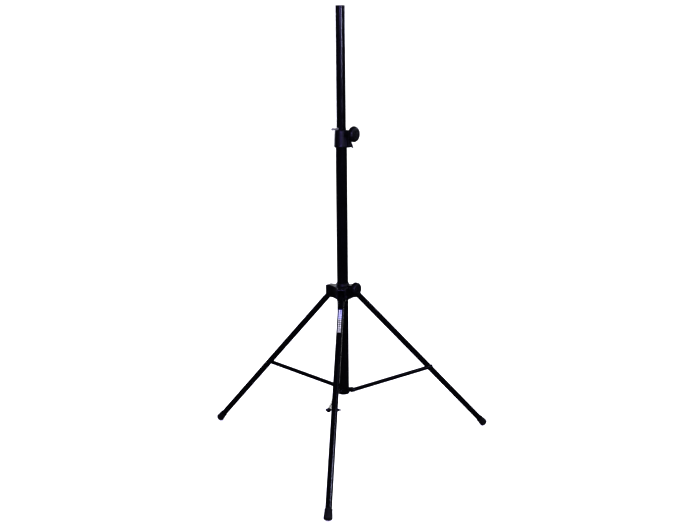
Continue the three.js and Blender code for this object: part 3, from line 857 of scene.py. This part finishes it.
def build_bracket():
    ring = lathe(
        [
            (15, TUBE_LOW),
            (BRACKET_R, TUBE_LOW),
            (BRACKET_R, BRACKET_HIGH),
            (15, BRACKET_HIGH),
        ],
        FINE,
        0.6,
    )
    adds = []
    cuts = [bar(TUBE_R + GAP, 100, 400, FINE)]
    pivot_move = shift(BRACE_PIVOT_R, 0, BRACE_PIVOT_Z)
    round_end = arc(BRACE_PIVOT_R, BRACE_PIVOT_Z, LUG_R, -90, 90, 20)
    outline = [(17, BRACE_PIVOT_Z - LUG_R), *round_end, (17, BRACE_PIVOT_Z + LUG_R)]
    for azimuth in LEG_AZIMUTHS:
        lug = slab(outline, -LUG_SIDE, LUG_THICKNESS - LUG_SIDE, 0.5)
        adds.append(moved(lug, about_z(azimuth)))
        hole = bar(BOLT_HOLE_R, -20, 0, 24)
        cuts.append(moved(hole, about_z(azimuth) @ pivot_move @ ALONG_Y))
    whole = moulded(combine(ring, adds, cuts), 0.6, 2)
    piece("brace_bracket", whole, COLUMN, "column", paint_plain, "lower_bracket", 60)
    tail = TUBE_BORE + GAP
    head = BRACKET_R + GAP
    rivet = [(0, tail), (2, tail), (2, head), (4, head), (3.9, head + 0.5)]
    rivet += [(3.2, head + 1.3), (1.8, head + 1.7), (0, head + 1.8)]
    head_face = -BRACE_SIDE - BRACE_R - GAP
    nut_face = -LUG_SIDE + LUG_THICKNESS + GAP
    nut_end = nut_face + BRACE_NUT_THICK
    for i, azimuth in enumerate(LEG_AZIMUTHS, 1):
        place = spoke(azimuth + 60) @ shift(0, 0, RIVET_Z) @ ALONG_X
        piece(
            f"pop_rivet_{i}", lathe(rivet, 32, 0.15), place, "column", black_zinc,
            f"bracket_rivet_{i}",
        )
        pivot = spoke(azimuth) @ pivot_move
        bolt = socket_bolt(nut_end + 1 - head_face)
        piece(
            f"brace_hinge_bolt_{i}", bolt, pivot @ shift(0, head_face, 0) @ ALONG_Y,
            "column", black_zinc, f"brace_pivot_bolt_{i}",
        )
        piece(
            f"brace_hinge_nut_{i}", hex_nut(nut_face, nut_end, 10.5, NUT_HOLE_R),
            pivot @ ALONG_Y, "column", black_zinc, f"brace_pivot_nut_{i}",
        )


# ---- Upper pole and safety pin ---------------------------------------------------------


def build_pole():
    inner = POLE_R - POLE_WALL
    hole_heights = [PIN_Z - i * PIN_HOLE_PITCH for i in range(PIN_HOLE_COUNT)]
    rings = [z + side for z in hole_heights for side in (-7, 7)]
    body = pipe(POLE_R, inner, POLE_LOW, POLE_HIGH, FINE, rings)
    holes = []
    for z in hole_heights:
        place = about_z(PIN_AZIMUTH) @ shift(0, 0, z) @ ALONG_X
        holes.append(moved(bar(PIN_HOLE_R, -30, 30, 32), place))
    piece(
        "telescopic_pole", combine(body, cuts=holes), COLUMN, "upper_pole", paint_worn,
        "upper_pole",
    )
    cap_low = POLE_HIGH + GAP
    stem_low = POLE_HIGH - 18
    cap = [
        (0, stem_low),
        (inner - GAP, stem_low),
        (inner - GAP, cap_low),
        (POLE_R, cap_low),
        (POLE_R, STAND_TOP),
        (6, STAND_TOP),
        (5, STAND_TOP - 0.8),
        (0, STAND_TOP - 0.8),
    ]
    piece("top_cap", lathe(cap, FINE, 0.8), COLUMN, "upper_pole", plastic, "pole_top_cap")
    glide_r = TUBE_BORE - GAP
    pole_end = POLE_LOW - GAP
    glide_high = POLE_LOW + 30
    glide = [
        (inner - 1, pole_end - 3),
        (glide_r, pole_end - 3),
        (glide_r, glide_high),
        (POLE_R + GAP, glide_high),
        (POLE_R + GAP, pole_end),
        (inner - 1, pole_end),
    ]
    piece("pole_glide", lathe(glide, 64), COLUMN, "upper_pole", bush, "pole_bottom_glide")
    pin = [
        (0, -25),
        (PIN_R - 1.2, -25),
        (PIN_R, -23.5),
        (PIN_R, POLE_R + 0.7),
        (5.4, POLE_R + 0.7),
        (5.4, POLE_R + 3.2),
        (PIN_R, POLE_R + 3.8),
        (PIN_R, 38.5),
        (4.8, 39.5),
        (4.8, 40.9),
        (4.2, 41.3),
        (4.2, 41.9),
        (4.8, 42.3),
        (4.8, 43.1),
        (4.2, 43.5),
        (4.2, 44.1),
        (4.8, 44.5),
        (4.8, 46),
        (3.6, 47.5),
        (0, 47.5),
    ]
    place = spoke(PIN_AZIMUTH) @ shift(0, 0, PIN_Z) @ ALONG_X
    piece("locking_pin", lathe(pin, 48, 0.3), place, "safety_pin", zinc, "safety_pin")


# ---- Knobs -----------------------------------------------------------------------------


def knob_mesh(radius, thick):
    """A lobed knob along +Z with a dished cap on its face and a stud bore behind."""
    profile = [
        (0, STUD_IN_KNOB + GAP),
        (STUD_R + GAP, STUD_IN_KNOB + GAP),
        (STUD_R + GAP, 0.6),
        (STUD_R + 1, 0),
        (radius * 0.3, 0),
        (radius * 0.34, thick * 0.05),
        (radius * 0.6, thick * 0.05),
        (radius * 0.64, 0),
        (radius * 0.8, 0),
        (radius * 0.9, thick * 0.03),
        (radius * 0.95, thick * 0.09),
        (radius * 0.985, thick * 0.2),
        (radius, thick * 0.4),
        (radius * 0.99, thick * 0.56),
        (radius * 0.96, thick * 0.7),
        (radius * 0.9, thick * 0.82),
        (radius * 0.82, thick * 0.9),
        (radius * 0.7, thick * 0.95),
        (radius * 0.56, thick * 0.97),
        (radius * 0.47, thick * 0.975),
        (radius * 0.45, thick * 0.94),
        (radius * 0.42, thick * 0.94),
        (radius * 0.4, thick * 0.985),
        (radius * 0.2, thick * 0.995),
        (0, thick),
    ]

    def lobes(angle, reach):
        share = max(0.0, min(1.1, reach / radius))
        wave = 0.5 - 0.5 * math.cos(KNOB_LOBES * angle)
        return reach * (1 - 0.035 * share**4 * wave**1.6)

    return lathe(profile, 192, 0.5, lobes)


def build_knob(part, height, radius, thick, back, stud_from):
    """The clamp's or the hub's knob and its stud. back and stud_from are distances from
    the column's axis, to the knob's back face and to the stud's inner end."""
    place = spoke(KNOB_AZIMUTH) @ shift(0, 0, height)
    body = f"{part}_knob"
    handle = knob_mesh(radius, thick)
    handle_place = place @ shift(back, 0, 0) @ ALONG_X
    piece(f"{part}_handle", handle, handle_place, body, plastic, f"{part}_knob", 50)
    stud = thread(STUD_R, stud_from, back + STUD_IN_KNOB)
    piece(f"{part}_screw", stud, place @ ALONG_X, body, zinc, f"{part}_stud")


# ---- Leg hub ---------------------------------------------------------------------------


def hub_arm_outline():
    top = HUB_PIVOT_Z + 30
    bottom = HUB_PIVOT_Z - 16.5
    outline = [(16, top), (16, HUB_LOW + 1), (26, HUB_LOW + 1)]
    outline += [(34, bottom), (58, bottom)]
    outline += arc(HUB_ARM_END_R - 9, bottom + 9, 9, -85, 0, 8)
    outline += arc(HUB_ARM_END_R - 4, top - 4, 4, 0, 90, 6)
    return outline


def hub_web():
    """The web that fills the corners between the arms: its sides are slightly hollow."""
    outline = []
    for azimuth in LEG_AZIMUTHS:
        here = Matrix.Rotation(math.radians(azimuth), 2)
        there = Matrix.Rotation(math.radians(azimuth + 120), 2)
        start = here @ Vector((WEB_END_R, HUB_ARM_HALF_WIDTH))
        end = there @ Vector((WEB_END_R, -HUB_ARM_HALF_WIDTH))
        middle = (start + end).normalized() * WEB_MIDDLE_R
        control = middle * 2 - (start + end) / 2
        for step in range(17):
            t = step / 16
            outline.append(start * (1 - t) ** 2 + control * 2 * t * (1 - t) + end * t * t)
    web = slab([(p.x, p.y) for p in outline], WEB_LOW, WEB_HIGH, 0.6)
    # slab() gives thickness along Y, and the web's is along Z.
    moved(web, Matrix(((1, 0, 0, 0), (0, 0, 1, 0), (0, 1, 0, 0), (0, 0, 0, 1))))
    bmesh.ops.recalc_face_normals(web, faces=web.faces)
    return web


def build_hub():
    ring = lathe(
        [
            (0, HUB_LOW),
            (25, HUB_LOW),
            (28.5, HUB_LOW + 5),
            (28.5, HUB_HIGH - 8),
            (25.4, HUB_HIGH - 5),
            (25, HUB_HIGH),
            (0, HUB_HIGH),
        ],
        FINE,
        1.0,
    )
    stud_axis = shift(0, 0, HUB_STUD_Z) @ ALONG_X
    boss_place = about_z(KNOB_AZIMUTH) @ stud_axis
    boss = lathe([(0, 16), (11.8, 16), (11, 47), (9, 49), (0, 49)], 64, 1.2)
    adds = [hub_web(), moved(boss, boss_place)]
    cuts = [
        bar(22.9, HUB_LOW - 50, HUB_HIGH + 50, FINE),
        moved(bar(STUD_R + GAP, 10, 70, 32), boss_place),
        moved(bar(SHOE_R + GAP, 10, HUB_SHOE_END + GAP, 32), boss_place),
    ]
    half = HUB_ARM_HALF_WIDTH
    slot_half = LEG_R + 0.5
    slot_top = HUB_PIVOT_Z + 24
    slot_low = HUB_LOW - 20
    slot_outline = [(36, slot_low), (80, slot_low), (80, slot_top - 3)]
    slot_outline += [(80, slot_top), (40, slot_top), (36, slot_top - 4)]
    pivot_move = shift(HUB_PIVOT_R, 0, HUB_PIVOT_Z)
    for azimuth in LEG_AZIMUTHS:
        rotate = about_z(azimuth)
        adds.append(moved(slab(hub_arm_outline(), -half, half, 1.0), rotate))
        cuts.append(moved(slab(slot_outline, -slot_half, slot_half), rotate))
        pivot = rotate @ pivot_move
        cuts.append(moved(bar(BOLT_HOLE_R, -30, 30, 24), pivot @ ALONG_Y))
        # A sunk ring round each bolt seat, on both cheeks of the arm.
        for face in (-half, half):
            groove = lathe([(7.6, -0.7), (9.2, -0.7), (9.2, 0.7), (7.6, 0.7)], 48, 0)
            cuts.append(moved(groove, pivot @ shift(0, face, 0) @ ALONG_Y))
    whole = moulded(combine(ring, adds, cuts), 0.9, 3)
    piece("hub_casting", whole, COLUMN, "leg_hub", plastic, "leg_hub", 60)

    inner = TUBE_R + 0.25
    flange = HUB_HIGH + GAP
    profile = [
        (inner, HUB_LOW),
        (22.6, HUB_LOW),
        (22.6, flange),
        (24.4, flange),
        (24.4, flange + 2),
        (inner, flange + 2),
    ]
    piece("hub_sleeve", lathe(profile, FINE, 0.4), COLUMN, "leg_hub", bush, "hub_bush")
    pad = bar(SHOE_R, inner, HUB_SHOE_END, 32, 0.5)
    piece("hub_pad", pad, spoke(KNOB_AZIMUTH) @ stud_axis, "leg_hub", bush, "hub_shoe")
    outside = half + GAP
    nut_end = outside + LEG_NUT_THICK
    for i, azimuth in enumerate(LEG_AZIMUTHS, 1):
        pivot = spoke(azimuth) @ pivot_move
        piece(
            f"leg_hinge_bolt_{i}", socket_bolt(outside + nut_end + 1.6),
            pivot @ shift(0, -outside, 0) @ ALONG_Y, "leg_hub", black_zinc,
            f"leg_pivot_bolt_{i}",
        )
        piece(
            f"leg_hinge_nut_{i}", hex_nut(outside, nut_end, 11.5, NUT_HOLE_R),
            pivot @ ALONG_Y, "leg_hub", black_zinc, f"leg_pivot_nut_{i}",
        )


# ---- Legs and braces -------------------------------------------------------------------


def boot_mesh():
    """A boot in its leg's frame, with grooves round its sides and a worn sole."""
    bore = LEG_R + GAP
    bore_end = -LEG_TUBE_END - GAP
    sole_r = BOOT_R - BOOT_EDGE_R
    end = -BOOT_EDGE - BOOT_EDGE_R - 1
    profile = [(0, end), (sole_r * 0.25, end), (sole_r * 0.32, end + 0.6)]
    profile += [(sole_r * 0.45, end + 0.6), (sole_r * 0.52, end + 0.2)]
    profile += arc(sole_r, -BOOT_EDGE, BOOT_EDGE_R, -90, 0, 8)
    profile += [(15.0, -833), (14.7, -828.5), (14.2, -828), (14.1, -826.6)]
    profile += [(14.5, -826.1), (14.0, -819)]
    profile += [(13.6, -BOOT_HIGH - 10), (13.5, -BOOT_HIGH - 4.4)]
    profile += [(13.9, -BOOT_HIGH - 3.8), (13.9, -BOOT_HIGH - 1), (12.9, -BOOT_HIGH)]
    profile += [(bore, -BOOT_HIGH), (bore, bore_end), (0, bore_end)]
    boot = lathe(profile, 72, 0.25)
    # The floor has worn a small flat on the boot.
    on_floor = turn("Y", LEG_ANGLE) @ Vector((0, 0, 1))
    floor_point = on_floor * -HUB_PIVOT_Z
    geometry = [*boot.verts, *boot.edges, *boot.faces]
    cut = bmesh.ops.bisect_plane(
        boot, geom=geometry, plane_co=floor_point, plane_no=-on_floor, clear_outer=True
    )
    rim = [e for e in cut["geom_cut"] if isinstance(e, bmesh.types.BMEdge)]
    bmesh.ops.holes_fill(boot, edges=rim)
    return boot


def label_mesh():
    """A thin printed film that wraps the upper side of the leg, with rounded corners."""
    inner = LEG_R + GAP - 0.2
    outer = LEG_R + GAP + 0.15
    half = math.radians(60)
    columns = 28
    rows = 50
    corner_r = 2.5

    def inset(along):
        """How far the side edge pulls in near the film's ends, in millimetres."""
        near = min(along, LABEL_LENGTH - along)
        if near >= corner_r:
            return 0.0
        return corner_r - math.sqrt(corner_r**2 - (corner_r - near) ** 2)

    rings = []
    for row in range(rows + 1):
        share = (1 - math.cos(math.pi * row / rows)) / 2
        along = share * LABEL_LENGTH
        reach = half - inset(along) / outer
        angles = [-reach + 2 * reach * i / columns for i in range(columns + 1)]
        height = -LABEL_TOP - along
        loop = [(outer * math.cos(a), outer * math.sin(a), height) for a in angles]
        angles.reverse()
        loop += [(inner * math.cos(a), inner * math.sin(a), height) for a in angles]
        rings.append(loop)
    mesh = skin(rings)
    mesh.verts.ensure_lookup_table()
    count = len(rings[0])
    for start in (0, rows * count):
        ends = [mesh.verts[start + i] for i in range(count)]
        for i in range(columns):
            corners = (ends[i], ends[i + 1], ends[count - 2 - i], ends[count - 1 - i])
            mesh.faces.new(corners)
    bmesh.ops.recalc_face_normals(mesh, faces=mesh.faces)
    return mesh


def build_leg(i, azimuth):
    place = leg_frame(azimuth)
    body = f"leg_{i}"
    tube = pipe(LEG_R, LEG_R - LEG_WALL, -LEG_TUBE_END, 12, 72)
    piece(f"leg_{i}_tube", tube, place, body, paint, f"leg_tube_{i}")
    piece(f"leg_{i}_boot", boot_mesh(), place, body, rubber, f"foot_{i}", 32)
    face = LEG_R + GAP
    shank = bar(BOLT_R + 0.03, -LEG_R - 0.1, face + 1, 36, 0.3)
    nut = to_shape(hex_nut(face, face + 3.6, 10.8, BOLT_R - 0.7, 1.4))
    tail = thread(BOLT_R, face - 1, face + 11)
    whole = combine(shank, [nut, tail])
    joint = place @ shift(0, 0, -BRACE_ON_LEG) @ ALONG_Y
    piece(f"leg_{i}_brace_nut", whole, joint, body, black_zinc, f"brace_nut_{i}")
    if i == 1:
        piece("front_leg_film", label_mesh(), place, body, label, "leg_label", 60)


def build_brace(i, azimuth):
    place = brace_frame(azimuth)
    body = f"brace_{i}"
    low, high = -BRACE_PAST_INNER, BRACE_LENGTH + BRACE_PAST_OUTER
    rings = [side for z in (0, BRACE_LENGTH) for side in (z - 5, z + 5)]
    tube = pipe(BRACE_R, BRACE_R - BRACE_WALL, low, high, 64, rings)
    holes = []
    for z in (0, BRACE_LENGTH):
        holes.append(moved(bar(BOLT_HOLE_R, -20, 20, 24), shift(0, 0, z) @ ALONG_Y))
    whole = combine(tube, cuts=holes)
    piece(f"brace_{i}_tube", whole, place @ ALONG_X, body, paint, f"brace_tube_{i}")
    head_face = BRACE_R + GAP
    bolt = socket_bolt(2 * BRACE_R + GAP)
    joint = place @ shift(BRACE_LENGTH, -head_face, 0) @ ALONG_Y
    piece(f"brace_{i}_bolt", bolt, joint, body, black_zinc, f"brace_bolt_{i}")


# ---- Camera, light and floor -----------------------------------------------------------

# The lens is in mm and the angles in degrees. The place is in metres from the column's
# foot, before the heading turns it.
CAMERA_LENS = 54.16
CAMERA_PITCH = 11.18
CAMERA_ROLL = -0.464
CAMERA_HEADING = 4.6
CAMERA_PLACE = (0.0281, -3.8467, 1.4986)


def build_camera():
    data = bpy.data.cameras.new("camera")
    data.sensor_width = 36
    data.lens = CAMERA_LENS
    data.clip_end = 60
    camera = bpy.data.objects.new("camera", data)
    bpy.context.scene.collection.objects.link(camera)
    pitch = math.radians(CAMERA_PITCH)
    roll = math.radians(CAMERA_ROLL)
    right = Vector((1, 0, 0))
    up = Vector((0, math.sin(pitch), math.cos(pitch)))
    forward = Vector((0, math.cos(pitch), -math.sin(pitch)))
    rolled_right = right * math.cos(roll) + up * math.sin(roll)
    rolled_up = up * math.cos(roll) - right * math.sin(roll)
    axes = Matrix((rolled_right, rolled_up, -forward)).transposed().to_4x4()
    place = Matrix.Translation(CAMERA_PLACE)
    camera.matrix_world = COLUMN @ about_z(CAMERA_HEADING) @ place @ axes
    bpy.context.scene.camera = camera


def area_light(name, place, target, width, height, power, color):
    data = bpy.data.lights.new(name, "AREA")
    data.shape = "RECTANGLE"
    data.size = width
    data.size_y = height
    data.energy = power
    data.color = color
    light = bpy.data.objects.new(name, data)
    bpy.context.scene.collection.objects.link(light)
    light.location = place
    way = Vector(target) - Vector(place)
    light.rotation_euler = way.to_track_quat("-Z", "Y").to_euler()


def build_stage():
    """A pale sweep: a floor that curves up behind the stand. Lengths are in metres."""
    half_width = 14
    front = -9
    back = 9
    bend = 3.5
    rise = 12
    line = [(front + (back - front) * i / 12, 0.0) for i in range(13)]
    for i in range(1, 17):
        angle = math.pi / 2 * i / 16
        line.append((back + bend * math.sin(angle), bend * (1 - math.cos(angle))))
    line.append((back + bend, rise))
    across = [-half_width + 2 * half_width * i / 14 for i in range(15)]
    mesh = bmesh.new()
    rows = [[mesh.verts.new((x, y, z)) for x in across] for y, z in line]
    for low, high in zip(rows, rows[1:]):
        for i in range(len(across) - 1):
            mesh.faces.new((low[i], low[i + 1], high[i + 1], high[i]))
    bmesh.ops.recalc_face_normals(mesh, faces=mesh.faces)
    sweep = to_object(mesh)
    sweep.name = "studio_floor"
    keep_grain(sweep.data)
    sweep.data.shade_smooth()
    look = Look("pale_paper", Roughness=0.9, Specular_IOR_Level=0.1)
    fibre = look.noise(6, 4)
    color = look.mix(fibre, (0.93, 0.93, 0.93, 1), (0.95, 0.95, 0.95, 1))
    look.finish(color, None, look.bump(look.noise(500, 3), 0.02, 0.0003))
    sweep.data.materials.append(look.material)
    sweep.visible_glossy = False


# The strength of the room's own light, and of what the gloss mirrors of it.
ROOM = 1.22
GLOSS_ROUND = 0.008
GLOSS_BEHIND = 1.6
# How near to the line straight behind the stand the bright region begins and is full.
BEHIND_START = 0.86
BEHIND_FULL = 0.97


def build_light():
    """An even white room. What the gloss mirrors is darker, as black flags round a small
    product make it, but for a bright region behind the stand."""
    world = bpy.data.worlds.new("studio")
    bpy.context.scene.world = world
    world.use_nodes = True
    tree = world.node_tree
    background = tree.nodes["Background"]
    path = tree.nodes.new("ShaderNodeLightPath")
    way = tree.nodes.new("ShaderNodeTexCoord")
    axes = tree.nodes.new("ShaderNodeSeparateXYZ")
    tree.links.new(way.outputs["Generated"], axes.inputs[0])
    behind = tree.nodes.new("ShaderNodeMapRange")
    behind.interpolation_type = "SMOOTHSTEP"
    behind.inputs["From Min"].default_value = BEHIND_START
    behind.inputs["From Max"].default_value = BEHIND_FULL
    behind.inputs["To Min"].default_value = GLOSS_ROUND
    behind.inputs["To Max"].default_value = GLOSS_BEHIND
    tree.links.new(axes.outputs["Y"], behind.inputs["Value"])
    dim = tree.nodes.new("ShaderNodeMapRange")
    dim.inputs["To Min"].default_value = ROOM
    tree.links.new(path.outputs["Is Glossy Ray"], dim.inputs["Value"])
    tree.links.new(behind.outputs["Result"], dim.inputs["To Max"])
    tree.links.new(dim.outputs["Result"], background.inputs["Strength"])
    background.inputs["Color"].default_value = (1.0, 1.0, 1.0, 1)
    blue = (0.78, 0.8, 1.0)
    violet = (0.5, 0.4, 1.0)
    area_light("pole_strip", (2.17, -2.71, 1.7), (0, 0.15, 1.6), 0.1, 0.4, 24, blue)
    area_light("front_soft", (0.1, -4.3, 2.5), (0, 0.15, 1.1), 0.5, 0.4, 150, violet)
    area_light("left_fill", (-2.8, -2.4, 2.2), (0, 0.15, 0.7), 1.0, 1.2, 3, blue)
    area_light("side_soft", (3.4, -1.04, 2.97), (0, -0.41, 0.1), 0.35, 0.35, 30, blue)
    area_light("back_left", (-2.4, 2.6, 1.7), (0, 0.15, 0.9), 0.3, 1.8, 30, blue)
    area_light("back_right", (2.7, 2.3, 2.3), (0, 0.15, 0.8), 0.3, 1.6, 30, blue)


build_camera()
build_column()
build_pole()
build_knob("clamp", CLAMP_STUD_Z, 29, 21.5, 46.8, CLAMP_SHOE_END + GAP)
build_hub()
build_knob("hub", HUB_STUD_Z, 26, 22, 50.5, HUB_SHOE_END + GAP)
for number, leg_azimuth in enumerate(LEG_AZIMUTHS, 1):
    build_leg(number, leg_azimuth)
    build_brace(number, leg_azimuth)
build_stage()
build_light()
bpy.context.scene.view_settings.view_transform = "Standard"
bpy.context.scene.view_settings.look = "High Contrast"
